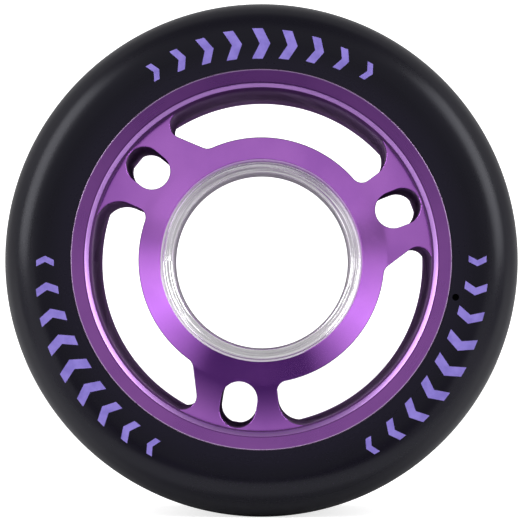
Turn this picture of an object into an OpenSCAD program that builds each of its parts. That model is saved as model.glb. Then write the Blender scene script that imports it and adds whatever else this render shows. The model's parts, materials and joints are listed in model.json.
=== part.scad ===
// Roller skate wheel: a urethane tyre cast round a three-spoke aluminium hub.
// The axle runs along Y, the printed face looks towards -Y and +Z is up.
// The origin is the middle of the wheel, on the axle line. All sizes are in millimetres.

/* [Tyre] */
// Diameter over the tread
tyre_d = 56; // [52:0.5:66]
// Width over the two sidewalls
tyre_w = 32; // [28:0.5:44]
// Radius of the round shoulder between sidewall and tread
shoulder_r = 4.6; // [2:0.1:6.5]
// Diameter of the vent pit that the casting leaves in the front sidewall
vent_d = 0.75; // [0.4:0.05:1.5]
// Depth of the vent pit
vent_depth = 0.8; // [0.3:0.1:2]
// Urethane left between the hub's edge and the vent pit
vent_land = 0.35; // [0.2:0.05:3.6]
// Place of the vent pit round the wheel, in degrees up from the right
vent_angle = -11; // [-180:1:180]

/* [Rim] */
// Diameter of the hub where it meets the sidewalls
core_d = 41.3; // [39:0.1:45]
// Thickness of the rim's wall under the locking ribs
rim_wall = 2; // [1.2:0.05:2.8]
// Fall of the lip's face, if it ran on to the rim's inner wall
lip_dish = 0.35; // [0.1:0.05:1]
// Width of the bevel on the lip's inner edge
bevel_w = 0.44; // [0.2:0.01:0.8]
// Slope of that bevel, in degrees
bevel_slope = 41; // [25:1:60]
// Chamfer on the lip's outer edge
lip_chamfer = 0.12; // [0.05:0.01:0.3]

/* [Locking ribs] */
// Number of ribs round the rim that stop the tyre from sliding off
rib_count = 3; // [1:1:4]
// Width of a rib
rib_w = 2.6; // [1.5:0.1:3.5]
// Height of a rib above the rim
rib_h = 1; // [0.5:0.1:2]
// Distance from rib to rib
rib_pitch = 6.5; // [4.5:0.1:7.5]
// Number of round notches across the ribs that stop the tyre from turning
notch_count = 12; // [4:1:24]
// Diameter of the cutter that makes the notches
notch_d = 2.4; // [1.2:0.1:3]

/* [Bearing seats] */
// Outer diameter of the bearing
bearing_d = 22; // [19:0.1:22.8]
// Width of the bearing
bearing_w = 7; // [5:0.1:8]
// Distance between the two bearings
bearing_gap = 10.3; // [8:0.1:12]
// Height of the shoulder that the bearing stops against
seat_lip = 1.25; // [0.6:0.05:2]
// Chamfer on the shoulder's inner edge
seat_lip_chamfer = 0.12; // [0.05:0.01:0.3]
// Radius in the corner between seat and shoulder
seat_corner_r = 0.25; // [0.1:0.05:0.3]
// Chamfer at the mouth of the seat
mouth_chamfer = 0.1; // [0.05:0.01:0.4]

/* [Spokes] */
// Wall of the boss round the bearing seat
boss_wall = 2.45; // [1.6:0.05:3.2]
// Slope of the boss's face, in degrees
boss_slope = 20; // [5:1:30]
// Width of the ledge from the boss to the crease where its slope ends
crease_land = 0.35; // [0.2:0.05:1]
// Thickness of a spoke where it meets the rim
spoke_t = 21.4; // [14:0.1:23]
// Number of spokes
spoke_count = 3; // [3:1:5]
// Width of a spoke between its parallel sides
spoke_w = 8.8; // [6.5:0.1:10]
// Place of the first spoke's leading side, in degrees up from the right
spoke_angle = 36.8; // [0:0.1:120]
// Corner radius of a window at the rim, by a spoke's leading side
lead_rim_r = 2.6; // [0.8:0.1:3]
// Corner radius of a window at the rim, by a spoke's trailing side
trail_rim_r = 1.5; // [0.8:0.1:2.2]
// Corner radius of a window at the boss
boss_corner_r = 1.15; // [0.5:0.05:1.8]
// Width of the slot through a spoke
slot_w = 4; // [2:0.1:4.6]
// Metal left between the end of a slot and the rim
slot_land = 0.1; // [0.05:0.05:1]

/* [Hidden] */

$fn = 96;

// Overlap that lets a cut pass its face, or a root run into the metal it grows from
bite = 0.5;
// A window's corner arcs run this far past the round walls that they meet
arc_bite = 0.03;
// Steps in the shoulder's arc, and in a small arc
shoulder_steps = 24;
arc_steps = 10;

tyre_r = tyre_d / 2;
half_w = tyre_w / 2;
core_r = core_d / 2;
rim_r = core_r - rim_wall;
root_r = core_r - rim_wall / 2;

bearing_r = bearing_d / 2;
seat_floor = bearing_gap / 2;
hub_half_w = seat_floor + bearing_w;
throat_r = bearing_r - seat_lip;
mouth_r = bearing_r + mouth_chamfer;
boss_r = bearing_r + boss_wall;
crease_r = boss_r + crease_land;
crease_z = hub_half_w - (crease_r - mouth_r) * tan(boss_slope);

slot_in_r = boss_r + slot_w / 2;
slot_out_r = rim_r - slot_land - slot_w / 2;
// The slots run straight out from the axle, through the middle of their spokes
slot_lag = asin(spoke_w / (boss_r + rim_r));

function polar(r, a) = [r * cos(a), r * sin(a)];

function arc(centre, r, from, to, steps = arc_steps) =
    [for (i = [0:steps]) centre + polar(r, from + (to - from) * i / steps)];

// The same points on the wheel's other face, in the order that closes the outline
function other_face(points) =
    [for (i = [len(points) - 1:-1:0]) [points[i].x, -points[i].y]];

// Outside of the rim from back to front, with its ribs
function rib_points() = [
    for (i = [0:rib_count - 1])
        let (z = (i - (rib_count - 1) / 2) * rib_pitch)
            each [
                [core_r, z - rib_w / 2],
                [core_r + rib_h, z - rib_w / 2],
                [core_r + rib_h, z + rib_w / 2],
                [core_r, z + rib_w / 2]
            ]
];

// Front lip of the rim, from its outer chamfer over its bevel to the rim's inner wall
function lip_points() =
    let (
        fall = lip_dish / (core_r - lip_chamfer - rim_r),
        bevel_z = half_w - lip_dish + bevel_w * fall
    )
    [
        [core_r, half_w - lip_chamfer],
        [core_r - lip_chamfer, half_w],
        [rim_r + bevel_w, bevel_z],
        [rim_r, bevel_z - bevel_w * tan(bevel_slope)]
    ];

// Front half of the hub's disc, from the middle of the bore round to its root in the rim
function disc_points() = concat(
    [[throat_r, seat_floor - seat_lip_chamfer], [throat_r + seat_lip_chamfer, seat_floor]],
    arc([bearing_r - seat_corner_r, seat_floor + seat_corner_r], seat_corner_r, -90, 0),
    [
        [bearing_r, hub_half_w - mouth_chamfer],
        [mouth_r, hub_half_w],
        [crease_r, crease_z],
        [rim_r, spoke_t / 2],
        [root_r, spoke_t / 2]
    ]
);

// One spoke seen from the front. Its leading side lies along the X axis, its trailing side is
// parallel, and round corners join both to the rim and to the boss.
function spoke_points() =
    let (
        rim_reach = rim_r + arc_bite,
        boss_reach = boss_r - arc_bite,
        trail_y = -spoke_w,
        lead_boss = [sqrt(pow(boss_reach + boss_corner_r, 2) - pow(boss_corner_r, 2)), boss_corner_r],
        lead_rim = [sqrt(pow(rim_reach - lead_rim_r, 2) - pow(lead_rim_r, 2)), lead_rim_r],
        trail_rim_y = trail_y - trail_rim_r,
        trail_rim = [sqrt(pow(rim_reach - trail_rim_r, 2) - pow(trail_rim_y, 2)), trail_rim_y],
        trail_boss_y = trail_y - boss_corner_r,
        trail_boss = [sqrt(pow(boss_reach + boss_corner_r, 2) - pow(trail_boss_y, 2)), trail_boss_y],
        lead_rim_a = atan2(lead_rim.y, lead_rim.x),
        trail_rim_a = atan2(trail_rim.y, trail_rim.x)
    )
    concat(
        arc(lead_boss, boss_corner_r, 180 + atan2(lead_boss.y, lead_boss.x), 270),
        arc(lead_rim, lead_rim_r, -90, lead_rim_a),
        arc([0, 0], root_r + bite, lead_rim_a, trail_rim_a),
        arc(trail_rim, trail_rim_r, trail_rim_a, 90),
        arc(trail_boss, boss_corner_r, 90, 180 + atan2(trail_boss.y, trail_boss.x))
    );

// Turns a shape drawn with the axle along Z and its front up into the wheel's frame
module upright() {
    rotate([90, 0, 0]) children();
}

module round_the_wheel(count, first = 0) {
    for (i = [0:count - 1]) rotate(first + i * 360 / count) children();
}

module notches() {
    run = (rib_count - 1) * rib_pitch + rib_w + notch_d;
    round_the_wheel(notch_count)
        translate([core_r + rib_h, 0, 0])
            cylinder(d = notch_d, h = run, center = true);
}

// Everything that the tyre is cast round: the outside of the rim, filled in to the axle
module casting_core() {
    difference() {
        rotate_extrude()
            polygon(concat(
                [[0, -half_w - bite], [core_r, -half_w - bite]],
                rib_points(),
                [[core_r, half_w + bite], [0, half_w + bite]]
            ));
        notches();
    }
}

module rim() {
    difference() {
        rotate_extrude()
            polygon(concat(other_face(lip_points()), rib_points(), lip_points()));
        notches();
    }
}

// The boss and spokes, seen from the front
module disc_plan() {
    circle(r = boss_r);
    round_the_wheel(spoke_count, spoke_angle) polygon(spoke_points());
}

module slot_plan() {
    translate([slot_in_r, 0]) circle(d = slot_w);
    translate([slot_out_r, 0]) circle(d = slot_w);
    translate([slot_in_r, -slot_w / 2]) square([slot_out_r - slot_in_r, slot_w]);
}

module disc() {
    intersection() {
        rotate_extrude() polygon(concat(disc_points(), other_face(disc_points())));
        linear_extrude(tyre_w, center = true) disc_plan();
    }
}

module hub() {
    color("darkorchid")
        upright()
            difference() {
                union() {
                    rim();
                    disc();
                }
                linear_extrude(tyre_w, center = true)
                    round_the_wheel(spoke_count, spoke_angle - slot_lag) slot_plan();
            }
}

module tyre() {
    side_r = tyre_r - shoulder_r;
    shoulder = arc([side_r, half_w - shoulder_r], shoulder_r, 0, 90, shoulder_steps);
    color("dimgray")
        upright()
            difference() {
                rotate_extrude()
                    polygon(concat(
                        [[0, -half_w]],
                        other_face(shoulder),
                        shoulder,
                        [[0, half_w]]
                    ));
                casting_core();
                rotate(vent_angle)
                    translate([core_r + vent_land + vent_d / 2, 0, half_w - vent_depth])
                        cylinder(d = vent_d, h = vent_depth + bite);
            }
}

tyre();
hub();
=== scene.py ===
# %% [markdown]
# # A roller skate wheel
#
# The wheel has two parts: a black urethane tyre, and a purple anodised aluminium hub with three
# swept spokes that the tyre is cast round. This lesson takes their construction from the CAD model
# and gives them their looks: the soft edges, the finishes, a printed band and a small photo studio.
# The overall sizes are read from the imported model, so that the dressed wheel can't drift away from
# it. The objects of Blender's startup scene go first.

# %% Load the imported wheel
import json
import math

import bmesh
import bpy
from mathutils import Matrix, Vector
from mathutils.geometry import delaunay_2d_cdt
from mathutils.kdtree import KDTree

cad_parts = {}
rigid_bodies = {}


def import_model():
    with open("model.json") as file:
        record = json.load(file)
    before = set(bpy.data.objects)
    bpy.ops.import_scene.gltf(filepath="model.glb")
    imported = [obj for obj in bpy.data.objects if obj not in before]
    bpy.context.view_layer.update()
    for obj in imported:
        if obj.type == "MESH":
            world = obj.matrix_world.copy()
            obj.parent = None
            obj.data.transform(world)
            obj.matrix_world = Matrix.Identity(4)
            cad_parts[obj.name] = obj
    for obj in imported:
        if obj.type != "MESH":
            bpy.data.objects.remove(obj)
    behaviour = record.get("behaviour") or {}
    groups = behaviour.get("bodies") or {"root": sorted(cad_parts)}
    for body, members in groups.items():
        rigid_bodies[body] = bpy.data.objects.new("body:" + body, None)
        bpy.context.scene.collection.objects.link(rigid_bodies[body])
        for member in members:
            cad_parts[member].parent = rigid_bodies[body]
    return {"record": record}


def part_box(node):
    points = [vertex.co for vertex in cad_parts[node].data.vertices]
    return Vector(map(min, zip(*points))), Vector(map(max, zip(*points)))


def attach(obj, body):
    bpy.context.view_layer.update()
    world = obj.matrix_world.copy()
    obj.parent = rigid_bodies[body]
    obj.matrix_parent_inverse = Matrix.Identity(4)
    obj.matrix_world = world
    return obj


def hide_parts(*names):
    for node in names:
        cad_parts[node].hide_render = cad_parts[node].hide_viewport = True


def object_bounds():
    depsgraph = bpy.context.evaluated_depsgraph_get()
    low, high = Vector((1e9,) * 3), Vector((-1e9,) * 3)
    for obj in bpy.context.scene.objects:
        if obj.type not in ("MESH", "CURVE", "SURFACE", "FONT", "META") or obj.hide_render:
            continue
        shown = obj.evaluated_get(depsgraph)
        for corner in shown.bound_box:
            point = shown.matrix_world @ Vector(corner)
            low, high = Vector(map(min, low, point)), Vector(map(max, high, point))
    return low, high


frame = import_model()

for thing in list(bpy.data.objects):
    if thing.name in ("Cube", "Light", "Camera"):
        bpy.data.objects.remove(thing)

cad_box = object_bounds()
MM = 0.001
TYRE_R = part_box("tyre")[1].x
HALF_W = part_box("tyre")[1].y
print("tyre radius", round(TYRE_R / MM, 2), "mm, half width", round(HALF_W / MM, 2), "mm")

# %% [markdown]
# ## Camera
#
# The picture was taken from close in front, a little below the axle, with a long lens. A camera
# could be moved by eye until it fits. A few circles of the wheel, measured in the picture, fix its
# place better: the tyre's outline, the hub's lip, and the back edge of the windows, which looks
# smaller because it is 31 mm further away.

# %% Place the camera
CAMERA_PLACE = Vector((1.593, -398.35, -6.1)) * MM
CAMERA_AIM = Vector((-0.206, 0, 0.252)) * MM
IMAGE_W = 520
FOCAL_PIXELS = 3542.6
SENSOR_W = 36

camera = bpy.data.objects.new("camera", bpy.data.cameras.new("camera"))
bpy.context.scene.collection.objects.link(camera)
camera.location = CAMERA_PLACE
camera.rotation_euler = (CAMERA_AIM - CAMERA_PLACE).to_track_quat("-Z", "Y").to_euler()
camera.data.sensor_fit = "HORIZONTAL"
camera.data.sensor_width = SENSOR_W
camera.data.lens = FOCAL_PIXELS * SENSOR_W / IMAGE_W
camera.data.clip_start = 0.01
bpy.context.scene.camera = camera
print("lens", round(camera.data.lens), "mm")

# %% [markdown]
# ## Node trees as expressions
#
# Finishes and repeated shapes are node trees. They could be wired by hand, but that takes many
# lines. So one class wraps a socket: plus, minus, times and so on add the Math node that they stand
# for, and a mask reads like a formula.

# %% A socket that takes part in sums
class Wire:
    """A socket that takes part in arithmetic."""

    def __init__(self, bench, socket):
        self.bench = bench
        self.socket = socket

    def other(self, name):
        return Wire(self.bench, self.socket.node.outputs[name])

    def maths(self, operation, *values):
        return self.bench.node("ShaderNodeMath", {"operation": operation}, dict(enumerate(values)))

    def __add__(self, other):
        return self.maths("ADD", self, other)

    def __sub__(self, other):
        return self.maths("SUBTRACT", self, other)

    def __rsub__(self, other):
        return self.maths("SUBTRACT", other, self)

    def __mul__(self, other):
        return self.maths("MULTIPLY", self, other)

    def __truediv__(self, other):
        return self.maths("DIVIDE", self, other)

    def __rtruediv__(self, other):
        return self.maths("DIVIDE", other, self)

    def __mod__(self, other):
        return self.maths("MODULO", self, other)

    def __pow__(self, other):
        return self.maths("POWER", self, other)

    def __lt__(self, other):
        return self.maths("LESS_THAN", self, other)

    def __gt__(self, other):
        return self.maths("GREATER_THAN", self, other)

    def __abs__(self):
        return self.maths("ABSOLUTE", self)

    def __floor__(self):
        return self.maths("FLOOR", self)

    __radd__ = __add__
    __rmul__ = __mul__

    def root(self):
        return self.maths("SQRT", self)

    def at_least(self, other):
        return self.maths("MAXIMUM", self, other)

    def step(self, low, high):
        """0 below low, 1 above high and a smooth step between."""
        return self.bench.node(
            "ShaderNodeMapRange",
            {"interpolation_type": "SMOOTHSTEP"},
            {"Value": self, "From Min": low, "From Max": high},
        )


print("sums on sockets ready")

# %% [markdown]
# Every other node comes from one method, which takes the node's type, its settings and its sockets.
# A function for each kind of node would read a little better, but there are hundreds of kinds.

# %% Node trees
class Bench:
    """A node tree that is being built."""

    def __init__(self, tree):
        self.tree = tree

    def node(self, kind, settings=None, sockets=None, output=0):
        made = self.tree.nodes.new(kind)
        for name, value in (settings or {}).items():
            setattr(made, name, value)
        for key, value in (sockets or {}).items():
            for link in value if isinstance(value, list) else [value]:
                if isinstance(link, Wire):
                    self.tree.links.new(link.socket, made.inputs[key])
                else:
                    made.inputs[key].default_value = link
        return Wire(self, made.outputs[output]) if made.outputs else None

    def vector(self, x, y, z):
        return self.node("ShaderNodeCombineXYZ", None, {"X": x, "Y": y, "Z": z})

    def spot(self):
        """The X of each point's place. Its node has Y and Z too."""
        place = self.node("GeometryNodeInputPosition")
        return self.node("ShaderNodeSeparateXYZ", None, {0: place}, "X")

    def blend(self, share, first, second):
        """The first colour where share is 0 and the second where it is 1."""
        # The Mix node has sockets for every kind of data, and these are its colour sockets
        sockets = {0: share, 6: first, 7: second}
        return self.node("ShaderNodeMix", {"data_type": "RGBA"}, sockets, 2)


print("node trees ready")

# %% [markdown]
# A finish is the node tree of a material. The wheel is turned on a lathe, so a finish starts with
# the coordinates that suit it: the distance from the axle, the angle round it and the place along
# it. They come from Object coordinates, which are plain metres. Generated ones would stretch with
# each piece.

# %% Finishes of a turned part
BAND_SOFT = 0.01 * MM


class Finish(Bench):
    """A material's node tree, with the coordinates that a turned part needs."""

    def __init__(self, name):
        self.material = bpy.data.materials.new(name)
        self.material.use_nodes = True
        super().__init__(self.material.node_tree)
        self.tree.nodes.clear()
        self.place = self.node("ShaderNodeTexCoord", None, None, "Object")
        self.x = self.node("ShaderNodeSeparateXYZ", None, {0: self.place}, "X")
        self.y = self.x.other("Y")
        self.z = self.x.other("Z")
        self.r = (self.x * self.x + self.z * self.z).root()
        self.angle = self.x.maths("ARCTAN2", self.z, self.x)

    def noise(self, place, scale, detail):
        sockets = {"Vector": place, "Scale": scale, "Detail": detail}
        return self.node("ShaderNodeTexNoise", None, sockets)

    def rings(self, pitch, drift=0.4):
        """Lathe marks: noise that changes quickly with the radius and slowly round the axle."""
        track = self.vector(self.r / pitch, self.y / pitch, self.angle * drift)
        return self.noise(track, 1, 2)

    def band(self, inner, outer):
        """1 between two distances from the axle, with slightly soft edges."""
        started = self.r.step(inner - BAND_SOFT, inner + BAND_SOFT)
        return started - self.r.step(outer - BAND_SOFT, outer + BAND_SOFT)

    def bump(self, height, depth):
        sockets = {"Height": height, "Strength": 1, "Distance": depth}
        return self.node("ShaderNodeBump", None, sockets)

    def close(self, shader):
        self.node("ShaderNodeOutputMaterial", None, {"Surface": shader})
        return self.material


print("finishes ready")

# %% [markdown]
# ## Finishes
#
# Cast urethane is a satin black plastic. Its mould was turned on a lathe, so very faint rings run
# round it. Handling leaves slightly duller and shinier patches, and the tread is ground, so it is
# duller than the sidewalls. A picture could be wrapped round the tyre, but noise on the object's
# own coordinates needs no unwrapping and has no seam. The vent is a pit that the casting leaves
# beside the hub. Little light gets into it, so it is darker.

# %% Urethane
CORE_R = 20.65 * MM
VENT_R = 0.375 * MM
VENT_LAND = 0.35 * MM
VENT_FALL = math.radians(11)
VENT_AT = Vector((CORE_R + VENT_LAND + VENT_R, 0)) @ Matrix.Rotation(VENT_FALL, 2)


def urethane_finish():
    f = Finish("satin_urethane")
    patches = f.noise(f.place, 90, 4)
    grain = f.noise(f.place, 2600, 2)
    streaks = f.rings(0.9 * MM, 1.5)
    colour = f.blend(patches, (0.0019, 0.0015, 0.0040, 1), (0.0036, 0.0029, 0.0073, 1))
    # Painted light: beside the hub the sidewall is lighter and more violet, as if lit by the purple
    # lip
    painted_lip_bounce = 1 - f.r.step(CORE_R + 0.2 * MM, CORE_R + 3 * MM)
    colour = f.blend(painted_lip_bounce, colour, (0.0056, 0.0042, 0.0110, 1))
    aside = f.x - VENT_AT.x
    above = f.z - VENT_AT.y
    off_vent = (aside * aside + above * above).root()
    pit = (off_vent < VENT_R * 1.05) * (f.y > 0.06 * MM - HALF_W) * (f.y < 0)
    colour = f.blend(pit, colour, (0.0008, 0.0008, 0.0008, 1))
    ground = f.r.step(TYRE_R - 1.7 * MM, TYRE_R - 0.8 * MM)
    rough = 0.20 + patches * 0.07 + grain * 0.03 + streaks * 0.06
    rough = rough + pit * 0.6 + ground * 0.25
    height = f.rings(0.25 * MM) * 0.7 + grain * 0.3
    return f.close(f.node("ShaderNodeBsdfPrincipled", None, {
        "Base Color": colour,
        "Roughness": rough,
        "Specular IOR Level": 0.22,
        "Specular Tint": (0.90, 0.91, 1, 1),
        "Normal": f.bump(height, 0.0025 * MM),
    }))


urethane = urethane_finish()
print("made", urethane.name)

# %% [markdown]
# Anodised aluminium stays a metal: the dye sits in a clear oxide skin, so the reflections are
# tinted and stay sharp enough to show the studio. A purple plastic would be simpler, but it would
# mirror the lamps in white. The lip's outer edge was trimmed with the tyre after dyeing, so a
# hairline of bare metal shows there, broken by small nicks. The lip's face is painted darker, as
# painted shade. The bevel on the lip's inner edge is painted paler, as a painted highlight, and a
# fine dark line beside it is a painted reflection of shade. Each of these is a band of distances
# from the axle, so the mesh needs no marks for them.

# %% Anodised aluminium
RIM_R = 18.65 * MM
BEVEL_W = 0.44 * MM
BARE_EDGE_W = 0.16 * MM
SEAT_R = frame["record"]["mounts"][0]["dims"]["r_mm"] * MM
MOUTH_CHAMFER = 0.1 * MM
MOUTH_R = SEAT_R + MOUTH_CHAMFER


def anodised_finish():
    f = Finish("anodised_purple")
    clouds = f.noise(f.place, 140, 4)
    marks = f.rings(0.22 * MM)
    purple = f.blend(clouds.step(0.25, 0.75), (0.41, 0.140, 0.60, 1), (0.51, 0.185, 0.70, 1))
    lip = f.r.step(RIM_R + BEVEL_W * 0.97, RIM_R + BEVEL_W * 1.1)
    # Painted shade: the lip's face is darker than the rest of the hub
    purple = f.blend(lip * 0.60, purple, (0.13, 0.045, 0.17, 1))
    rim = f.r.step(RIM_R - 0.01 * MM, RIM_R + 0.01 * MM)
    bevel = rim - lip
    # Painted highlight: the bevel is paler, so that its line of light is brighter
    purple = f.blend(bevel, purple, (0.51, 0.275, 0.67, 1))
    # Painted reflection: a fine dark line on the lip beside the bevel, where it mirrors shade
    painted_dark_line = lip - f.r.step(RIM_R + BEVEL_W * 1.25, RIM_R + BEVEL_W * 1.4)
    purple = f.blend(painted_dark_line * 0.5, purple, (0.05, 0.012, 0.08, 1))
    nicks = f.noise(f.vector(f.angle * 34, f.r / MM, f.y / MM), 1.6, 5)
    edge = f.r.step(CORE_R - BARE_EDGE_W * 1.3, CORE_R - BARE_EDGE_W * 0.7)
    bare = edge * nicks.step(0.22, 0.42)
    colour = f.blend(bare, purple, (0.64, 0.46, 0.73, 1))
    spoke = f.r.step(MOUTH_R + 2 * MM, RIM_R) - rim
    rough = 0.10 + clouds * 0.06 + marks * 0.04
    rough = rough + lip * 0.13 + bevel * 0.22 + bare * 0.2 - spoke * 0.06
    return f.close(f.node("ShaderNodeBsdfPrincipled", None, {
        "Base Color": colour,
        "Metallic": 1,
        "Roughness": rough,
        "Specular Tint": (0.40, 0.16, 0.50, 1),
        "Normal": f.bump(marks, 0.0006 * MM),
    }))


anodised = anodised_finish()
print("made", anodised.name)

# %% [markdown]
# The bearing seats are bored after the dyeing, to a close fit, so they are bare metal, and the dye
# only runs a little way into their mouth. Fine grooves run round the shoulder that the bearing
# stops against. They are too small to model, so the normal leans outwards and inwards from groove
# to groove, and each catches another lamp. Two bright lines at the shoulder's edges are painted
# highlights.

# %% Bare seat
SEAT_LIP = 1.25 * MM
THROAT_R = SEAT_R - SEAT_LIP
SEAT_LIP_CHAMFER = 0.12 * MM
GROOVE_SLOPE = math.tan(math.radians(33))


def bare_finish():
    f = Finish("bare_seat")
    marks = f.rings(0.06 * MM, 0.8)
    stains = f.noise(f.place, 300, 4)
    silver = f.blend(stains, (0.70, 0.70, 0.70, 1), (0.86, 0.86, 0.86, 1))
    wall = f.r.step(SEAT_R - 0.03 * MM, SEAT_R - 0.01 * MM)
    run = abs(f.y) + f.z * 0.35 + f.x * 0.2
    dyed = wall * run.step(9.2 * MM, 9.8 * MM)
    corner = f.band(SEAT_R - 0.24 * MM, SEAT_R - 0.02 * MM)
    # Painted highlights: two white lines at the shoulder's outer and inner edges
    painted_outer_highlight = f.band(SEAT_R - 0.37 * MM, SEAT_R - 0.24 * MM)
    painted_inner_highlight = f.band(THROAT_R + SEAT_LIP_CHAMFER, THROAT_R + SEAT_LIP_CHAMFER * 2)
    rings = f.rings(0.5 * MM).step(0.35, 0.65)
    bored = f.blend(rings, (0.58, 0.54, 0.60, 1), (0.78, 0.73, 0.80, 1))
    colour = f.blend(wall, silver, bored)
    colour = f.blend(dyed, colour, (0.40, 0.13, 0.55, 1))
    colour = f.blend(corner, colour, (0.78, 0.74, 0.81, 1))
    # The painted highlights go on in near-white
    colour = f.blend(painted_outer_highlight + painted_inner_highlight, colour, (0.99, 0.99, 0.99, 1))
    groove = (marks.step(0.58, 0.60) + marks.step(0.40, 0.42) - 1) * (1 - wall)
    outward = f.vector(f.x / f.r, 0, f.z / f.r)
    lean = f.node(
        "ShaderNodeVectorMath",
        {"operation": "SCALE"},
        {0: outward, "Scale": groove * GROOVE_SLOPE},
    )
    face = f.node("ShaderNodeNewGeometry", None, None, "Normal")
    leaning = f.node("ShaderNodeVectorMath", {"operation": "ADD"}, {0: face, 1: lean})
    return f.close(f.node("ShaderNodeBsdfPrincipled", None, {
        "Base Color": colour,
        "Metallic": 1 - wall * 0.5,
        "Roughness": 0.18 + stains * 0.08 + wall * 0.2,
        "Normal": f.node("ShaderNodeVectorMath", {"operation": "NORMALIZE"}, {0: leaning}),
    }))


bare = bare_finish()
print("made", bare.name)

# %% [markdown]
# The walls of the windows and slots are milled, and the throat between the seats is bored. All are
# duller than the faces, and mirror each other in blurred patches. A rough metal could do that too,
# but light that goes from wall to wall is slow to render and grainy. So they are matte, and the
# shade
# and reflections in them are painted: tones that change from the front of the wheel to the back,
# and dark patches of painted reflection round the axle, with the cutter's marks across them.

# %% Dull walls
# Painted shade and reflection on the milled walls: dark at the front, pale in the middle, darker at
# the back
MILLED_SHADE_TONES = ((0.11, 0.045, 0.15, 1), (0.50, 0.34, 0.58, 1), (0.20, 0.11, 0.25, 1))
THROAT_TONES = ((0.46, 0.45, 0.47, 1), (0.52, 0.51, 0.53, 1), (0.58, 0.57, 0.59, 1))


def dull_finish(name, front, middle, back):
    """A matte wall whose colour changes from the front of the wheel to the back, as painted shade
    and reflections.
    """
    f = Finish(name)
    clouds = f.noise(f.place, 260, 4)
    cutter = f.noise(f.vector(f.angle * 6, f.y / MM * 3, f.r / MM * 3), 1, 2)
    painted_reflection_patches = f.noise(f.vector(f.angle * 3 + f.y / MM * 0.04, f.r / MM * 0.3, 2), 1, 1)
    drift = f.y + (clouds - 0.5) * 3 * MM
    # Painted shade and reflection: the tone changes along the axle, from the front one to the middle
    # and the back
    colour = f.blend(drift.step(-12 * MM, -6 * MM), front, middle)
    colour = f.blend(drift.step(0, 13 * MM), colour, back)
    # Patches of painted reflection round the axle darken towards the front tone, as do the cutter's
    # marks
    colour = f.blend(cutter.step(0.4, 0.7) * 0.2 + painted_reflection_patches.step(0.5, 0.56) * 0.3, colour, front)
    return f.close(f.node("ShaderNodeBsdfPrincipled", None, {
        "Base Color": colour,
        "Roughness": 0.6 + cutter * 0.2,
        "Specular IOR Level": 0,
        "Normal": f.bump(cutter, 0.004 * MM),
    }))


milled = dull_finish("milled_wall", *MILLED_SHADE_TONES)
throat = dull_finish("bored_throat", *THROAT_TONES)
print("made", milled.name, "and", throat.name)

# %% [markdown]
# The ink is a thin opaque layer, slightly uneven where the pad pressed less. It could be a mask in
# the urethane, but the print is a piece of its own, so it has a material of its own.

# %% Ink
def ink_finish():
    f = Finish("lavender_ink")
    press = f.noise(f.place, 900, 4)
    colour = f.blend(press.step(0.3, 0.7), (0.19, 0.145, 0.50, 1), (0.25, 0.195, 0.60, 1))
    rough = 0.5 + press * 0.15
    return f.close(f.node("ShaderNodeBsdfPrincipled", None, {
        "Base Color": colour,
        "Roughness": rough,
        "Specular IOR Level": 0.3,
        "Normal": f.bump(press, 0.002 * MM),
    }))


ink = ink_finish()
print("made", ink.name)

# %% [markdown]
# ## Tyre
#
# A tyre is a turned shape: one outline, carried round the axle. The CAD model has it too, but its
# round shoulder is made of narrow cones that would show as bands in a highlight. Geometry Nodes
# turn the outline again, with more steps. A grid gets one row for each point of the outline and one
# column for each step round the axle, and every vertex moves to its place by a formula.

# %% Outline of the tyre
SHOULDER_R = 4.6 * MM
SIDE_R = TYRE_R - SHOULDER_R
RIB_COUNT = 3
RIB_W = 2.6 * MM
RIB_H = 1 * MM
RIB_PITCH = 6.5 * MM
SIDE_STEPS = 8
SHOULDER_STEPS = 48
TREAD_STEPS = 24


def polar(radius, angle):
    return Vector((radius * math.cos(angle), radius * math.sin(angle)))


def arc(centre, radius, start, end, steps):
    return [centre + polar(radius, start + (end - start) * i / steps) for i in range(steps + 1)]


def between(first, last, steps):
    """Points from first to last, without the first."""
    return [first.lerp(last, i / steps) for i in range(1, steps + 1)]


def other_face(points):
    """The same points on the wheel's other face, in the order that closes the outline."""
    return [Vector((p.x, -p.y)) for p in reversed(points)]


def rib_points():
    """The outside of the rim from back to front, as distance from the axle and place along it."""
    points = []
    for i in range(RIB_COUNT):
        middle = (i - (RIB_COUNT - 1) / 2) * RIB_PITCH
        for side, height in ((-1, 0), (-1, RIB_H), (1, RIB_H), (1, 0)):
            points.append(Vector((CORE_R + height, middle + side * RIB_W / 2)))
    return points


def tyre_points():
    front = [Vector((CORE_R, -HALF_W))]
    front += between(front[0], Vector((SIDE_R, -HALF_W)), SIDE_STEPS)
    centre = Vector((SIDE_R, SHOULDER_R - HALF_W))
    front += arc(centre, SHOULDER_R, -math.pi / 2, 0, SHOULDER_STEPS)[1:]
    back = other_face(front)
    tread = between(front[-1], back[0], TREAD_STEPS)[:-1]
    return front + tread + back + list(reversed(rib_points())) + front[:1]


print("the tyre's outline has", len(tyre_points()), "points")

# %% [markdown]
# Two trees make shapes of this wheel: the tyre and the print. Both start with named inputs for
# their sizes, so that a size can change while the nodes stay. Both end in the same way: smooth
# faces, sharp edges kept sharp, copies made real, and a material. So the start and the end are
# written once.

# %% Start and end of a tree
SHARP_ANGLE = math.radians(35)


def new_tree(name, inputs):
    """A Geometry Nodes tree with these named inputs, and one wire for each."""
    tree = bpy.data.node_groups.new(name, "GeometryNodeTree")
    for label, kind in inputs.items():
        tree.interface.new_socket(label, in_out="INPUT", socket_type="NodeSocket" + kind)
    tree.interface.new_socket("Geometry", in_out="OUTPUT", socket_type="NodeSocketGeometry")
    bench = Bench(tree)
    first = bench.node("NodeGroupInput")
    return bench, {label: first.other(label) for label in inputs}


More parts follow.
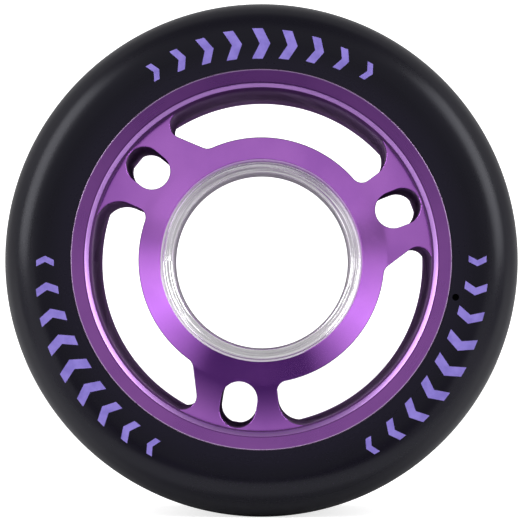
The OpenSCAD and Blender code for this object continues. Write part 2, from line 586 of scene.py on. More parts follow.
def finish_tree(bench, shape, material):
    """Sharp edges stay sharp, copies become real, and the material goes on."""
    turn = bench.node("GeometryNodeInputMeshEdgeAngle")
    smooth = bench.node("GeometryNodeSetShadeSmooth", {"domain": "FACE"}, {"Geometry": shape})
    crisp = bench.node(
        "GeometryNodeSetShadeSmooth",
        {"domain": "EDGE"},
        {"Geometry": smooth, "Selection": turn > SHARP_ANGLE, "Shade Smooth": False},
    )
    real = bench.node("GeometryNodeRealizeInstances", None, {"Geometry": crisp})
    done = bench.node("GeometryNodeSetMaterial", None, {"Geometry": real, "Material": material})
    bench.node("NodeGroupOutput", None, {"Geometry": done})
    return bench.tree


print("edges over", round(math.degrees(SHARP_ANGLE)), "degrees stay sharp")

# %% [markdown]
# The tree takes the outline and the sizes of the vent as named inputs. A Screw modifier could turn
# the outline too, but a tree can drill the vent in the same go, with a Boolean.

# %% Tree that turns an outline
SEAM = 0.001 * MM
VENT_SIDES = 32


def turned_ring_tree(material):
    bench, given = new_tree("turned_ring", {
        "Outline": "Geometry",
        "Columns": "Int",
        "Vent Radius": "Float",
        "Vent Depth": "Float",
        "Vent Place": "Vector",
    })
    outline = given["Outline"]
    rows = bench.node("GeometryNodeAttributeDomainSize", None, {0: outline}, "Point Count")
    grid = bench.node("GeometryNodeMeshGrid", None, {
        "Vertices X": given["Columns"] + 1, "Vertices Y": rows,
    })
    index = bench.node("GeometryNodeInputIndex")
    turn = math.floor(index / rows) / given["Columns"] * math.tau
    spot = bench.node("GeometryNodeInputPosition")
    point = bench.node(
        "GeometryNodeSampleIndex",
        {"data_type": "FLOAT_VECTOR"},
        {"Geometry": outline, "Value": spot, "Index": index % rows},
    )
    radius = bench.node("ShaderNodeSeparateXYZ", None, {0: point}, "X")
    place = bench.vector(
        radius * turn.maths("COSINE", turn),
        radius.other("Y"),
        radius * turn.maths("SINE", turn),
    )
    ring = bench.node("GeometryNodeSetPosition", None, {"Geometry": grid, "Position": place})
    ring = bench.node("GeometryNodeMergeByDistance", None, {"Geometry": ring, "Distance": SEAM})
    drill = bench.node("GeometryNodeMeshCylinder", None, {
        "Vertices": VENT_SIDES,
        "Radius": given["Vent Radius"],
        "Depth": given["Vent Depth"] * 2,
    })
    drill = bench.node("GeometryNodeTransform", None, {
        "Geometry": drill, "Translation": given["Vent Place"], "Rotation": (math.pi / 2, 0, 0),
    })
    drilled = bench.node(
        "GeometryNodeMeshBoolean",
        {"operation": "DIFFERENCE", "solver": "EXACT"},
        {"Mesh 1": ring, "Mesh 2": drill},
    )
    return finish_tree(bench, drilled, material)


print("the tree that turns an outline is ready to build")

# %% [markdown]
# A modifier runs the tree on a mesh that holds the outline. It could stay live, but a plain mesh is
# easier to check and to export, so the result is copied and the modifier goes. The check counts
# edges that don't have exactly two faces. A closed tyre has none.

# %% Turn the tyre
COLUMNS = 288
VENT_DEPTH = 0.8 * MM


def run_tree(name, mesh, tree, **values):
    """Runs a tree on a mesh and returns a new object that holds the plain result."""
    source = bpy.data.objects.new(name + "_source", mesh)
    bpy.context.scene.collection.objects.link(source)
    modifier = source.modifiers.new("shape", "NODES")
    modifier.node_group = tree
    for socket in tree.interface.items_tree:
        label = socket.name.lower().replace(" ", "_")
        if label in values:
            modifier[socket.identifier] = values[label]
    depsgraph = bpy.context.evaluated_depsgraph_get()
    plain = bpy.data.meshes.new_from_object(source.evaluated_get(depsgraph))
    plain.name = name
    bpy.data.objects.remove(source)
    piece = bpy.data.objects.new(name, plain)
    bpy.context.scene.collection.objects.link(piece)
    return piece


def outline_mesh(points):
    mesh = bpy.data.meshes.new("outline")
    edges = [(i, i + 1) for i in range(len(points) - 1)]
    mesh.from_pydata([(p.x, p.y, 0) for p in points], edges, [])
    return mesh


def report(piece):
    check = bmesh.new()
    check.from_mesh(piece.data)
    loose = sum(1 for e in check.edges if len(e.link_faces) != 2)
    volume = check.calc_volume(signed=True) / MM**3
    print(piece.name, len(check.faces), "faces,", loose, "open edges,", round(volume), "mm3")
    check.free()


tyre = run_tree(
    "tyre_body",
    outline_mesh(tyre_points()),
    turned_ring_tree(urethane),
    columns=COLUMNS,
    vent_radius=VENT_R,
    vent_depth=VENT_DEPTH,
    vent_place=(VENT_AT.x, -HALF_W, VENT_AT.y),
)
report(tyre)
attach(tyre, "root")
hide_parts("tyre")

# %% [markdown]
# ## Hub
#
# The hub is turned and then milled: a rim, a boss and the disc between them, with three windows and
# three slots cut straight through. A Boolean would leave razor edges that no real part has. So the
# disc's front is drawn flat, as a plan with the windows and slots left out, filled with triangles
# and lifted to its height by a formula that also lowers it along each cut, where the edge is
# broken. Walls then join the front to the back.
#
# The cuts are made of arcs and straight stretches, as a milling cutter leaves them. Their points
# stand evenly, so that the faces beside them are alike in size.

# %% Arcs and corners
STEP = 0.32 * MM


def angle_of(p):
    return math.atan2(p.y, p.x)


def bend(centre, radius, start, end):
    return arc(centre, radius, start, end, max(3, math.ceil(abs(end - start) * radius / STEP)))


def turned(points, angle):
    turn = Matrix.Rotation(angle, 2)
    return [turn @ p for p in points]


def filled_in(points):
    """The same points, with more of them along the straight stretches."""
    full = points[:1]
    for p in points[1:]:
        full += between(full[-1], p, max(1, math.ceil((p - full[-1]).length / STEP)))
    return full


def corner(side, radius, reach):
    """Centre of a corner that touches a spoke's side and the round wall that it runs into."""
    height = side + math.copysign(radius, side or 1)
    return Vector((math.sqrt(reach**2 - height**2), height))


print("points stand", round(STEP / MM, 2), "mm apart along the cuts")

# %% [markdown]
# A window's wall runs down the side of one spoke, along the boss and up the side of the next, with
# a round corner at each turn. A slot is a straight cut with round ends through the middle of a
# spoke. Both could be drawn by hand as curves, but arcs worked out from the sizes of the spokes
# meet exactly, and one window and one slot, turned round the axle, give the rest.

# %% Plan of a window and a slot
BOSS_WALL = 2.45 * MM
BOSS_R = SEAT_R + BOSS_WALL
SPOKE_COUNT = 3
SPOKE_TURN = math.tau / SPOKE_COUNT
SPOKE_W = 8.8 * MM
SPOKE_ANGLE = math.radians(36.8)
LEAD_RIM_R = 2.6 * MM
TRAIL_RIM_R = 1.5 * MM
BOSS_CORNER_R = 1.15 * MM
SLOT_R = 2 * MM
SLOT_LAND = 0.1 * MM
SLOT_IN = BOSS_R + SLOT_R
SLOT_OUT = RIM_R - SLOT_LAND - SLOT_R
SLOT_LAG = math.asin(SPOKE_W / (BOSS_R + RIM_R))


def window_wall():
    """The window after a spoke whose leading side lies along +X, with metal on its left."""
    lead_rim = corner(0, LEAD_RIM_R, RIM_R - LEAD_RIM_R)
    lead_boss = corner(0, BOSS_CORNER_R, BOSS_R + BOSS_CORNER_R)
    trail_boss = corner(-SPOKE_W, BOSS_CORNER_R, BOSS_R + BOSS_CORNER_R)
    trail_rim = corner(-SPOKE_W, TRAIL_RIM_R, RIM_R - TRAIL_RIM_R)
    lead_boss_a = angle_of(lead_boss)
    trail_boss_a = angle_of(trail_boss)
    lead_rim_a = angle_of(lead_rim)
    trail_rim_a = angle_of(trail_rim)
    lead = bend(lead_rim, LEAD_RIM_R, lead_rim_a, -math.pi / 2)
    lead += bend(lead_boss, BOSS_CORNER_R, 1.5 * math.pi, math.pi + lead_boss_a)
    boss = bend(Vector((0, 0)), BOSS_R, lead_boss_a, SPOKE_TURN + trail_boss_a)[1:-1]
    trail = bend(trail_boss, BOSS_CORNER_R, math.pi + trail_boss_a, math.pi / 2)
    trail += bend(trail_rim, TRAIL_RIM_R, math.pi / 2, trail_rim_a)
    return filled_in(lead + boss + turned(trail, SPOKE_TURN))


def slot_wall():
    """The wall of a slot that points along +X, with metal on its left."""
    outer = bend(Vector((SLOT_OUT, 0)), SLOT_R, math.pi / 2, -math.pi / 2)
    inner = bend(Vector((SLOT_IN, 0)), SLOT_R, 1.5 * math.pi, math.pi / 2)
    return filled_in(outer + inner + outer[:1])[:-1]


windows = [turned(window_wall(), SPOKE_ANGLE + k * SPOKE_TURN) for k in range(SPOKE_COUNT)]
slots = [turned(slot_wall(), SPOKE_ANGLE - SLOT_LAG + k * SPOKE_TURN) for k in range(SPOKE_COUNT)]
print("a window's wall has", len(windows[0]), "points and a slot's", len(slots[0]))

# %% [markdown]
# The rim's inner circle meets spokes and windows by turns, and the lip all the way round. Each
# could have points of its own, but then hairline gaps would open between them. So the circle is cut
# where the windows start and end, and everything that touches it uses the same points.

# %% Plan of the rim and the bore
def rim_arc(start, end):
    """Points of the rim's inner circle, anticlockwise from start to end."""
    first = angle_of(start)
    sweep = (angle_of(end) - first) % math.tau
    steps = max(2, math.ceil(sweep * RIM_R / STEP))
    return [start] + [polar(RIM_R, first + sweep * i / steps) for i in range(1, steps)] + [end]


window_rims = [rim_arc(wall[0], wall[-1]) for wall in windows]
spoke_rims = [rim_arc(windows[k - 1][-1], windows[k][0]) for k in range(SPOKE_COUNT)]
rim_plan = [p for k in range(SPOKE_COUNT) for p in spoke_rims[k][:-1] + window_rims[k][:-1]]
bore_plan = [polar(MOUTH_R, math.tau * i / COLUMNS) for i in range(COLUMNS)]
print("rim points", len(rim_plan))

# %% [markdown]
# A lathe cuts the disc's face before the windows are milled: the boss slopes away from the bore,
# and the spokes are slightly hollow. So the height follows from the distance to the axle, by a
# formula. Along a cut the edge is broken, and the face drops there in a quarter of a circle. A
# search tree of all the cuts' points tells how near the next cut is.

# %% Height of the disc's face
cut_points = [p for wall in windows + slots for p in wall]
cuts = KDTree(len(cut_points))
for i, p in enumerate(cut_points):
    cuts.insert(p.to_3d(), i)
cuts.balance()
HUB_HALF_W = 12.15 * MM
BOSS_SLOPE = math.radians(20)
CREASE_LAND = 0.35 * MM
CREASE_R = BOSS_R + CREASE_LAND
CREASE_SOFT = 0.06 * MM
SPOKE_HALF_T = 10.7 * MM
SPOKE_HOLLOW = 1.3
EDGE_R = 0.06 * MM


def plain_height(r):
    """The boss falls away from the bore, and the spokes are hollow, lowest just before the rim."""
    boss = HUB_HALF_W - (r - MOUTH_R) * math.tan(BOSS_SLOPE)
    crease = HUB_HALF_W - (CREASE_R - MOUTH_R) * math.tan(BOSS_SLOPE)
    out = (r - CREASE_R) / (RIM_R - CREASE_R)
    spoke = crease + (SPOKE_HALF_T - crease) * out * (1 + SPOKE_HOLLOW * (1 - out))
    return (boss + spoke + math.hypot(boss - spoke, CREASE_SOFT)) / 2


def face_height(p):
    inward = min(cuts.find(p.to_3d())[2], EDGE_R)
    drop = EDGE_R - math.sqrt(EDGE_R**2 - (EDGE_R - inward) ** 2)
    return plain_height(p.length) - drop


print("height at the bore", round(plain_height(MOUTH_R) / MM, 2), "mm")
print("height at the rim", round(plain_height(RIM_R) / MM, 2), "mm")

# %% [markdown]
# The plan is filled with triangles, small where the face bends: beside the cuts and at the crease
# between boss and spokes. A grid would cross the cuts at odd angles. A Delaunay triangulation
# follows their outlines, and leaves the windows and slots open. The points on circles stay one step
# away from the cuts, because a triangle that reached across a broken edge would flatten it.

# %% Triangles of the disc's face
EDGE_STEPS = 4
FLAT_ROW = 1.5
RIM_CLEAR = 0.03 * MM
BOSS_CIRCLES = 6
SPOKE_CIRCLES = 10
ALL_TRIANGLES = 0
SAME_POINT = 1e-6


def inward_rows(wall, closed):
    """Rows of points beside a cut that follow its broken edge, and one on the face beyond it."""
    rows = []
    for i, p in enumerate(wall):
        ahead = wall[(i + 1) % len(wall)] if closed else wall[min(i + 1, len(wall) - 1)]
        behind = wall[i - 1] if closed else wall[max(i - 1, 0)]
        along = (ahead - behind).normalized()
        inside = Vector((-along.y, along.x))
        for j in range(1, EDGE_STEPS + 1):
            rows.append(p + inside * EDGE_R * (1 - math.cos(j * math.pi / 2 / EDGE_STEPS)))
        rows.append(p + inside * EDGE_R * FLAT_ROW)
    return [p for p in rows if p.length < RIM_R - RIM_CLEAR]


def face_circles():
    """Points on circles between the bore and the rim, with four close ones at the crease."""
    boss_w = CREASE_R - MOUTH_R
    spoke_l = RIM_R - CREASE_R
    radii = [MOUTH_R + boss_w * i / BOSS_CIRCLES for i in range(1, BOSS_CIRCLES)]
    radii += [CREASE_R + CREASE_SOFT * off for off in (-2, -0.5, 0.5, 2)]
    radii += [CREASE_R + spoke_l * i / SPOKE_CIRCLES for i in range(1, SPOKE_CIRCLES)]
    points = [polar(r, math.tau * i / COLUMNS) for r in radii for i in range(COLUMNS)]
    return [p for p in points if cuts.find(p.to_3d())[2] > STEP]


def disc_plan():
    """The plan's points and triangles."""
    loops = [rim_plan, bore_plan] + [slot[::-1] for slot in slots]
    loops += [windows[k][::-1] + window_rims[k][1:-1] for k in range(SPOKE_COUNT)]
    points, faces = [], []
    for loop in loops:
        faces.append(list(range(len(points), len(points) + len(loop))))
        points += [p / MM for p in loop]
    spare = face_circles()
    for wall in windows:
        spare += inward_rows(wall, False)
    for wall in slots:
        spare += inward_rows(wall, True)
    points += [p / MM for p in spare]
    found = delaunay_2d_cdt(points, [], faces, ALL_TRIANGLES, SAME_POINT)
    corners, _, triangles, _, _, homes = found
    # A triangle inside the rim's loop alone is metal, and inside any other loop it is open
    metal = [tri for tri, home in zip(triangles, homes) if home == [0]]
    return [p * MM for p in corners], metal


plan_points, plan_faces = disc_plan()
print("the disc's plan has", len(plan_points), "points and", len(plan_faces), "triangles")

# %% [markdown]
# The rim with its lips and the bore with its seats are turned shapes, like the tyre, so each needs
# only an outline. The bevel on the lip's inner edge ends in two corners. A Bevel modifier could
# round them, but it would round every other edge too. A short bend in the outline is enough to
# catch a line of light.

# %% Outlines of the lip and the bore
LIP_DISH = 0.35 * MM
LIP_CHAMFER = 0.12 * MM
LIP_STEPS = 12
SEAT_FLOOR = 5.15 * MM
SEAT_STEPS = 6
SEAT_CORNER_R = 0.25 * MM
CORNER_STEPS = 6
SHELF_STEPS = 4
SOFT_STEPS = 4
LIP_SLOPE = math.atan2(LIP_DISH, CORE_R - LIP_CHAMFER - RIM_R)
BEVEL_SLOPE = math.radians(43)
BEVEL_SOFT = 0.05 * MM
BEVEL_TOP = HALF_W - LIP_DISH + BEVEL_W * math.tan(LIP_SLOPE)
BEVEL_LOW = BEVEL_TOP - BEVEL_W * math.tan(BEVEL_SLOPE)


def softened(before, corner, after):
    """A corner as a short bend from one of its sides to the other."""
    start = corner + (before - corner).normalized() * BEVEL_SOFT
    end = corner + (after - corner).normalized() * BEVEL_SOFT
    shares = [i / SOFT_STEPS for i in range(SOFT_STEPS + 1)]
    return [start.lerp(corner, t).lerp(corner.lerp(end, t), t) for t in shares]


def lip_points():
    """From the rim's inner wall over the lip to its outer edge, at the front."""
    low = Vector((RIM_R, BEVEL_LOW))
    high = Vector((RIM_R + BEVEL_W, BEVEL_TOP))
    outer = Vector((CORE_R - LIP_CHAMFER, HALF_W))
    wall = Vector((RIM_R, BEVEL_LOW - BEVEL_SOFT))
    edge = softened(wall, low, high) + softened(low, high, outer)
    face = between(edge[-1], outer, LIP_STEPS)
    return edge + face + [Vector((CORE_R, HALF_W - LIP_CHAMFER))]


def rim_points():
    return lip_points() + list(reversed(rib_points())) + other_face(lip_points())


def seat_points():
    """From the mouth of the front seat down to its shoulder and the edge of the throat."""
    front = [Vector((SEAT_R, HUB_HALF_W - MOUTH_CHAMFER))]
    seat_low = Vector((SEAT_R, SEAT_FLOOR + SEAT_CORNER_R))
    front += between(front[0], seat_low, SEAT_STEPS)
    centre = seat_low - Vector((SEAT_CORNER_R, 0))
    front += arc(centre, SEAT_CORNER_R, 0, -math.pi / 2, CORNER_STEPS)[1:]
    front += between(front[-1], Vector((THROAT_R + SEAT_LIP_CHAMFER, SEAT_FLOOR)), SHELF_STEPS)
    front += [Vector((THROAT_R, SEAT_FLOOR - SEAT_LIP_CHAMFER))]
    return front


print("rim outline", len(rim_points()), "points, seat outline", len(seat_points()))

# %% [markdown]
# The hub's turned surfaces and its walls are all strips of faces between columns of points.
# Blender's operators could spin and extrude them, but they work on a selection, and a script is
# easier to follow when each strip says where its points come from.

# %% Strips of faces
def in_space(p, height):
    """A point of the plan at this height in front of the wheel's middle."""
    return (p.x, -height, p.y)


def column(p, heights):
    return [in_space(p, h) for h in heights]


def levels(first, last, steps):
    return [first + (last - first) * i / steps for i in range(steps + 1)]


def add_strip(work, columns, material):
    """Faces between neighbouring columns of points."""
    rows = [[work.verts.new(co) for co in points] for points in columns]
    for left, right in zip(rows, rows[1:]):
        for i in range(len(left) - 1):
            work.faces.new((left[i], left[i + 1], right[i + 1], right[i])).material_index = material


def turned_columns(plan, outline):
    """The outline at each point of a ring, closed round the axle."""
    columns = []
    for p in plan + plan[:1]:
        outward = p.normalized()
        columns.append([in_space(outward * q.x, q.y) for q in outline])
    return columns


print("the rim takes", len(turned_columns(rim_plan, rim_points())), "columns")

# %% [markdown]
# Walls join the front to the back. On the real hub they are what the cutter left. Extruding the
# plan would make them in one go, but with straight tops, and the face isn't level. So every column
# of a wall has its own height. Each strip names its finish: dyed, bare, milled or bored.

# %% Walls of the hub
ANODISED, BARE, MILLED, THROAT = range(4)
WALL_STEPS = 6
THROUGH_STEPS = 12


def add_rim_wall(work):
    """The rim's inner wall: above each spoke on both faces, and right through at each window."""
    for k in range(SPOKE_COUNT):
        tops = [face_height(p) for p in spoke_rims[k]]
        for side in (1, -1):
            strip = [
                column(p, [side * h for h in levels(BEVEL_LOW - BEVEL_SOFT, top, WALL_STEPS)])
                for p, top in zip(spoke_rims[k], tops)
            ]
            add_strip(work, strip, MILLED)
        top = plain_height(RIM_R) - EDGE_R
        for side in (1, -1):
            heights = [side * h for h in levels(BEVEL_LOW - BEVEL_SOFT, top, WALL_STEPS)]
            add_strip(work, [column(p, heights) for p in window_rims[k]], MILLED)
        through = levels(top, -top, THROUGH_STEPS)
        add_strip(work, [column(p, through) for p in window_rims[k]], MILLED)


def add_cut_walls(work):
    for wall in windows + [slot + slot[:1] for slot in slots]:
        tops = [plain_height(p.length) - EDGE_R for p in wall]
        strip = [column(p, levels(top, -top, THROUGH_STEPS)) for p, top in zip(wall, tops)]
        add_strip(work, strip, MILLED)


print("walls have", WALL_STEPS, "steps above the spokes and", THROUGH_STEPS, "right through")

# %% [markdown]
# Strips and faces go into one mesh: the turned rim and bore, the walls of the rim, the windows and
# the slots, and the disc's face on both sides. Separate objects would be simpler, but the real hub
# is one piece of metal. So points that lie together are merged, and all faces are turned outwards.

# %% Put the hub together
THROAT_STEPS = 6


def add_disc_faces(work):
    heights = [face_height(p) for p in plan_points]
    for side in (1, -1):
        verts = [work.verts.new(in_space(p, side * h)) for p, h in zip(plan_points, heights)]
        for tri in plan_faces:
            work.faces.new([verts[i] for i in tri]).material_index = ANODISED


def build_hub():
    work = bmesh.new()
    add_strip(work, turned_columns(rim_plan, rim_points()), ANODISED)
    seat = seat_points()
    mouth = [Vector((MOUTH_R, plain_height(MOUTH_R))), seat[0]]
    bore = [seat[-1]] + between(seat[-1], other_face(seat)[0], THROAT_STEPS)
    for outline in (mouth, seat):
        add_strip(work, turned_columns(bore_plan, outline), BARE)
        add_strip(work, turned_columns(bore_plan, other_face(outline)), BARE)
    add_strip(work, turned_columns(bore_plan, bore), THROAT)
    add_rim_wall(work)
    add_cut_walls(work)
    add_disc_faces(work)
    bmesh.ops.remove_doubles(work, verts=work.verts, dist=SEAM)
    loose = [v for v in work.verts if not v.link_faces]
    bmesh.ops.delete(work, geom=loose, context="VERTS")
    bmesh.ops.recalc_face_normals(work, faces=work.faces)
    mesh = bpy.data.meshes.new("hub_body")
    work.to_mesh(mesh)
    work.free()
    for material in (anodised, bare, milled, throat):
        mesh.materials.append(material)
    mesh.shade_smooth()
    mesh.set_sharp_from_angle(angle=SHARP_ANGLE)
    piece = bpy.data.objects.new("hub_body", mesh)
    bpy.context.scene.collection.objects.link(piece)
    return piece


hub = build_hub()
report(hub)
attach(hub, "root")
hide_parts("hub")

# %% [markdown]
# ## Printed band
#
# The front sidewall carries a print in lavender ink: three rows of chevrons that point the way the
# wheel rolls, larger in the middle of each row. It could be an image on the tyre, but a mesh keeps
# its edges sharp from close by. The sizes are a table, and each becomes an input of the tree.

# %% Sizes of the print
PRINT = {
    "rows": 3,
    "marks": 9,
    "first_row": math.radians(90),
    "pitch": math.radians(7.4),
    "band_radius": 23.35 * MM,
    "mark_width": 1.15 * MM,
    "mark_height": 3.3 * MM,
    "waist": 0.5,
    "shrink": 0.42,
    "ink": 0.03 * MM,
}
print("the print has", PRINT["rows"] * PRINT["marks"], "marks")

# %% [markdown]
# One chevron is a small grid bent at its waist. Geometry Nodes copy it round the axle, lay every
# point on the sidewall and its round shoulder, and give the ink its thickness. A third of that
# thickness lies inside the tyre, so that the two never share a surface. Marks drawn one by one
# would all have to be drawn again for another size.

# %% Tree of the print
MARK_COLUMNS = 5
MARK_ROWS = 17
SHRINK_CURVE = 1.5


def print_tree(material):
    kinds = {"Rows": "Int", "Marks": "Int"}
    labels = [key.replace("_", " ").title() for key in PRINT]
    bench, given = new_tree("printed_band", {"Start": "Geometry"} | {
        label: kinds.get(label, "Float") for label in labels
    })
    flat = bench.node("GeometryNodeMeshGrid", None, {
        "Size X": given["Mark Width"],
        "Size Y": given["Mark Height"],
        "Vertices X": MARK_COLUMNS,
        "Vertices Y": MARK_ROWS,
    })
    spot = bench.spot()
    bent = spot - abs(spot.other("Y")) * given["Waist"] + given["Mark Height"] * given["Waist"] / 4
    mark = bench.node("GeometryNodeSetPosition", None, {
        "Geometry": flat, "Position": bench.vector(bent, 0, spot.other("Y")),
    })
    index = bench.node("GeometryNodeInputIndex")
    half = (given["Marks"] - 1) / 2
    row = math.floor(index / given["Marks"])
    step = index - row * given["Marks"] - half
    turn = given["First Row"] + row * math.tau / given["Rows"] + step * given["Pitch"]
    points = bench.node("GeometryNodePoints", None, {
        "Count": given["Rows"] * given["Marks"],
        "Position": bench.vector(
            given["Band Radius"] * turn.maths("COSINE", turn),
            0,
            given["Band Radius"] * turn.maths("SINE", turn),
        ),
    })
    size = 1 - given["Shrink"] * (abs(step) / half) ** SHRINK_CURVE
    copies = bench.node("GeometryNodeInstanceOnPoints", None, {
        "Points": points,
        "Instance": mark,
        "Rotation": bench.vector(0, math.pi / 2 - turn, 0),
        "Scale": bench.vector(size, 1, size),
    })
    real = bench.node("GeometryNodeRealizeInstances", None, {"Geometry": copies})
    x = bench.spot()
    z = x.other("Z")
    past = ((x * x + z * z).root() - SIDE_R).at_least(0)
    drop = SHOULDER_R - (SHOULDER_R**2 - past * past).root()
    laid = bench.node("GeometryNodeSetPosition", None, {
        "Geometry": real, "Position": bench.vector(x, drop - HALF_W + given["Ink"] / 3, z),
    })
    raised = bench.node("GeometryNodeExtrudeMesh", {"mode": "FACES"}, {
        "Mesh": laid, "Offset Scale": given["Ink"], "Individual": False,
    })
    under = bench.node("GeometryNodeFlipFaces", None, {"Mesh": laid})
    whole = bench.node("GeometryNodeJoinGeometry", None, {"Geometry": [raised, under]})
    whole = bench.node("GeometryNodeMergeByDistance", None, {"Geometry": whole, "Distance": SEAM})
    return finish_tree(bench, whole, material)


print("a mark has", MARK_COLUMNS * MARK_ROWS, "points")

# %% [markdown]
# The tree makes every mark by itself, so it runs on an empty mesh. The result is a piece of its
# own, which rides on the wheel's one body.

# %% Print the sidewall
sidewall_print = run_tree("sidewall_print", bpy.data.meshes.new("start"), print_tree(ink), **PRINT)
report(sidewall_print)
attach(sidewall_print, "root")

# %% [markdown]
# ## Studio
#
# The wheel stands on a pale floor before a white backdrop. Strong lamps could make both white, but
# they would bleach the wheel too. So each has a light of its own that only the camera, reflections
# and glass see, and the wheel's shadow still falls on it. Reflections don't see that light right
# under the wheel, where the tyre's foot stays dark. The floor ends just in front of the wheel,
# because the polished boss would mirror a floor that ran on.

# %% Floor and backdrop
FLOOR_HALF = 1.5
FLOOR_FRONT = -26 * MM
BACKDROP_Y = 1.3
FLOOR_GLOW = 0.72
BACKDROP_GLOW = 1
SHADE_EDGE = 2 * MM
SHADE_NEAR = 10 * MM
SHADE_FAR = 36 * MM


def stage_finish(name, own_light):
    """A pale diffuse surface, lifted towards white for the camera, reflections and glass."""
    f = Finish(name)
    grain = f.noise(f.place, 40, 2)
    pale = f.node("ShaderNodeBsdfDiffuse", None, {
        "Color": f.blend(grain, (0.80, 0.80, 0.80, 1), (0.82, 0.82, 0.82, 1)),
    })
    path = f.node("ShaderNodeLightPath", None, None, "Is Camera Ray")
    under = 1 - abs(f.y).step(HALF_W, HALF_W + SHADE_EDGE)
    shade = under * (1 - abs(f.x).step(SHADE_NEAR, SHADE_FAR))
    seen = path.at_least(path.other("Is Transmission Ray"))
    seen = seen.at_least(path.other("Is Glossy Ray") * (1 - shade))
    glow = f.node("ShaderNodeEmission", None, {
        "Color": (1, 1, 1, 1), "Strength": seen * own_light,
    })
    return f.close(f.node("ShaderNodeAddShader", None, {0: pale, 1: glow}))


def stage_plane(name, corners, material):
    mesh = bpy.data.meshes.new(name)
    mesh.from_pydata(corners, [], [(0, 1, 2, 3)])
    mesh.materials.append(material)
    plane = bpy.data.objects.new(name, mesh)
    bpy.context.scene.collection.objects.link(plane)


floor_z = cad_box[0].z
front_left = Vector((-FLOOR_HALF, FLOOR_FRONT, floor_z))
back_left = Vector((-FLOOR_HALF, BACKDROP_Y, floor_z))
across = Vector((2 * FLOOR_HALF, 0, 0))
upward = Vector((0, 0, FLOOR_HALF))
floor_corners = [front_left, front_left + across, back_left + across, back_left]
backdrop_corners = [back_left, back_left + across, back_left + across + upward, back_left + upward]
stage_plane("floor", floor_corners, stage_finish("pale_floor", FLOOR_GLOW))
stage_plane("backdrop", backdrop_corners, stage_finish("white_backdrop", BACKDROP_GLOW))
print("floor at", round(floor_z / MM, 1), "mm")

# %% [markdown]
# Metal only looks like metal when it has something to reflect. A picture of a real studio could
# surround the wheel, but a few colours that depend on the direction are easier to adjust. The room
# is dim, darker below than above, and its ceiling is dark in front and lighter behind. Left and
# right, just above the level of the axle, it is darker, as if flags of black cloth hung there. They
# set the boss off from the spokes.

# %% Room light
ROOM_LOW = (0.12, 0.085, 0.16, 1)
ROOM_HIGH = (0.70, 0.70, 0.70, 1)
ROOM_TOP = (0.30, 0.30, 0.30, 1)
ROOM_BACK = (0.80, 0.80, 0.80, 1)
RIGHT_FLAG = 0.45
LEFT_FLAG = 0.22
# Each pair is where a change starts and ends, as one coordinate of a direction of length 1
RISE = (-0.47, 0.18)
CEILING = (0.7, 0.95)
REAR_CEILING = (0.6, 0.85)
REAR = (0.05, 0.35)
RIGHT_SIDE = (0.4, 0.6)
LEFT_SIDE = (-0.4, -0.6)
FLAG_FOOT = (0.03, 0.15)
FLAG_TOP = (0.2, 0.32)


def room_light():
    world = bpy.data.worlds.new("room")
    world.use_nodes = True
    world.node_tree.nodes.clear()
    bench = Bench(world.node_tree)
    way = bench.node("ShaderNodeTexCoord", None, None, "Generated")
    up = bench.node("ShaderNodeSeparateXYZ", None, {0: way}, "Z")
    right = up.other("X")
    rear = up.other("Y")
    colour = bench.blend(up.step(*RISE), ROOM_LOW, ROOM_HIGH)
    colour = bench.blend(up.step(*CEILING), colour, ROOM_TOP)
    colour = bench.blend(up.step(*REAR_CEILING) * rear.step(*REAR), colour, ROOM_BACK)
    flags = right.step(*RIGHT_SIDE) * RIGHT_FLAG + right.step(*LEFT_SIDE) * LEFT_FLAG
    hung = up.step(*FLAG_FOOT) - up.step(*FLAG_TOP)
    colour = bench.blend(flags * hung, colour, (0, 0, 0, 1))
    glow = bench.node("ShaderNodeBackground", None, {"Color": colour, "Strength": 1})
    bench.node("ShaderNodeOutputWorld", None, {"Surface": glow})
    bpy.context.scene.world = world
    return world


room = room_light()
print("made the", room.name)

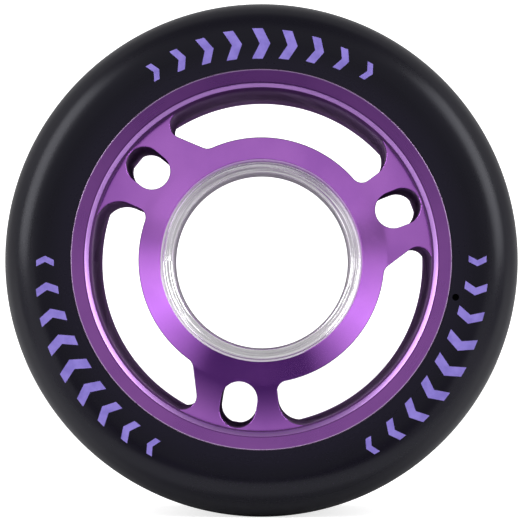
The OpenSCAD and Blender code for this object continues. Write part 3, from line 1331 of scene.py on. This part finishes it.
# %% [markdown]
# Two soft boxes stand high on the left and right, and two larger ones lower and further forward,
# brightest in the middle. Point lamps would leave only dots on polished metal, so these are area
# lamps, as wide as a photographer's. Two angles and a distance place each one, and it faces the
# wheel by itself.

# %% Soft boxes
def fade_out(light):
    """Light that is strongest in the middle of the box and fades towards its two ends."""
    light.use_nodes = True
    light.node_tree.nodes.clear()
    bench = Bench(light.node_tree)
    spot = bench.node("ShaderNodeNewGeometry", None, None, "Parametric")
    across = bench.node("ShaderNodeSeparateXYZ", None, {0: spot}, "X")
    glow = bench.node("ShaderNodeEmission", None, {"Strength": 1 - abs(across * 2 - 1)})
    bench.node("ShaderNodeOutputLight", None, {"Surface": glow})


def soft_box(name, off, turn, distance, width, height, radiance, fades):
    """A lamp that faces the wheel, off its axle by one angle and round it by another."""
    light = bpy.data.lights.new(name, "AREA")
    light.shape = "RECTANGLE"
    light.size = width
    light.size_y = height
    light.energy = radiance * math.pi * width * height
    if fades:
        fade_out(light)
    lamp = bpy.data.objects.new(name, light)
    bpy.context.scene.collection.objects.link(lamp)
    aside = math.sin(off)
    outward = Vector((aside * math.cos(turn), -math.cos(off), aside * math.sin(turn)))
    along = Vector((-math.sin(turn), 0, math.cos(turn)))
    axes = Matrix((along, outward.cross(along), outward)).transposed().to_4x4()
    lamp.matrix_world = Matrix.Translation(outward * distance) @ axes


# Name, angles off the axle and round it in degrees, distance, width and height in metres, radiance,
# and whether the light fades towards the ends
BOXES = (
    ("right_high_box", 65, 24, 0.6, 0.46, 0.28, 5.7, False),
    ("left_high_box", 65, 156, 0.6, 0.46, 0.28, 5.7, False),
    ("right_low_box", 54, -29, 0.65, 0.58, 0.52, 1.4, True),
    ("left_low_box", 54, 204, 0.65, 0.60, 0.52, 1.5, True),
)
for name, off, turn, distance, width, height, radiance, fades in BOXES:
    soft_box(name, math.radians(off), math.radians(turn), distance, width, height, radiance, fades)
print("soft boxes", len(BOXES))

# %% [markdown]
# ## View transform
#
# The Standard view transform shows colours as they were set, where Blender's default would soften
# them.

# %% Finish
bpy.context.scene.view_settings.view_transform = "Standard"
